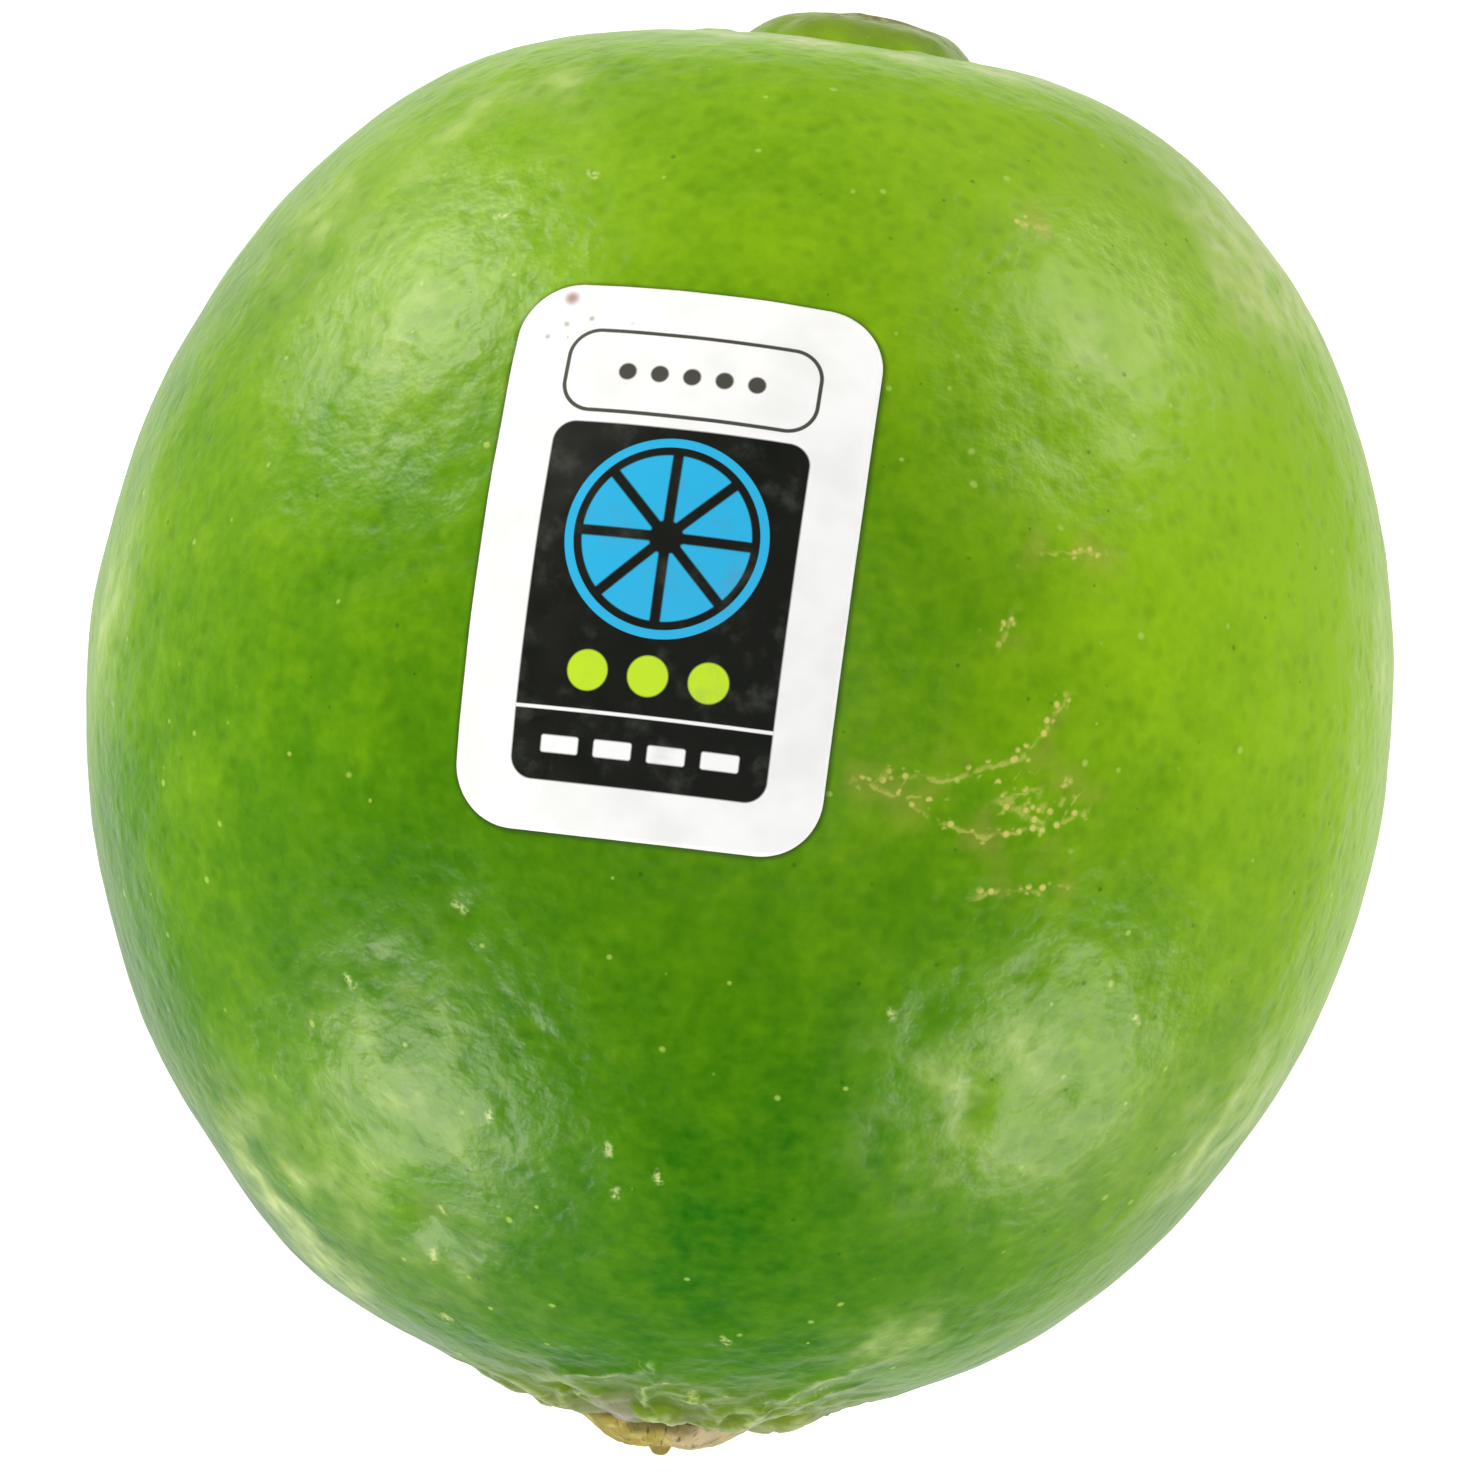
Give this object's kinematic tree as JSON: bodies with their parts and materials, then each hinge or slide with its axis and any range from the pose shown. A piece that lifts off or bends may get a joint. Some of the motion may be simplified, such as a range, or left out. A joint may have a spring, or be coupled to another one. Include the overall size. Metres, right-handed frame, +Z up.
{
  "type": "lime",
  "caption": "Whole fresh lime lying on its side, with a low nipple at one end, a dry stem button at the other and a small rounded paper label stuck on its upper side.",
  "frame": {"origin": "on the resting surface, under the middle of the fruit's box", "axes": "+Z up, +Y along the fruit's long axis towards the nipple, +X to the right seen from above with the nipple away; the label faces up"},
  "size_m": [0.0539, 0.0601, 0.054],
  "materials": {
    "peel": null,
    "dry_calyx": "dry woody stem button, ochre to pinkish tan, matt and worn",
    "label_paper": null
  },
  "bodies": {
    "root": {"fruit": "peel", "calyx": "dry_calyx", "label": "label_paper"}
  },
  "joints": []
}
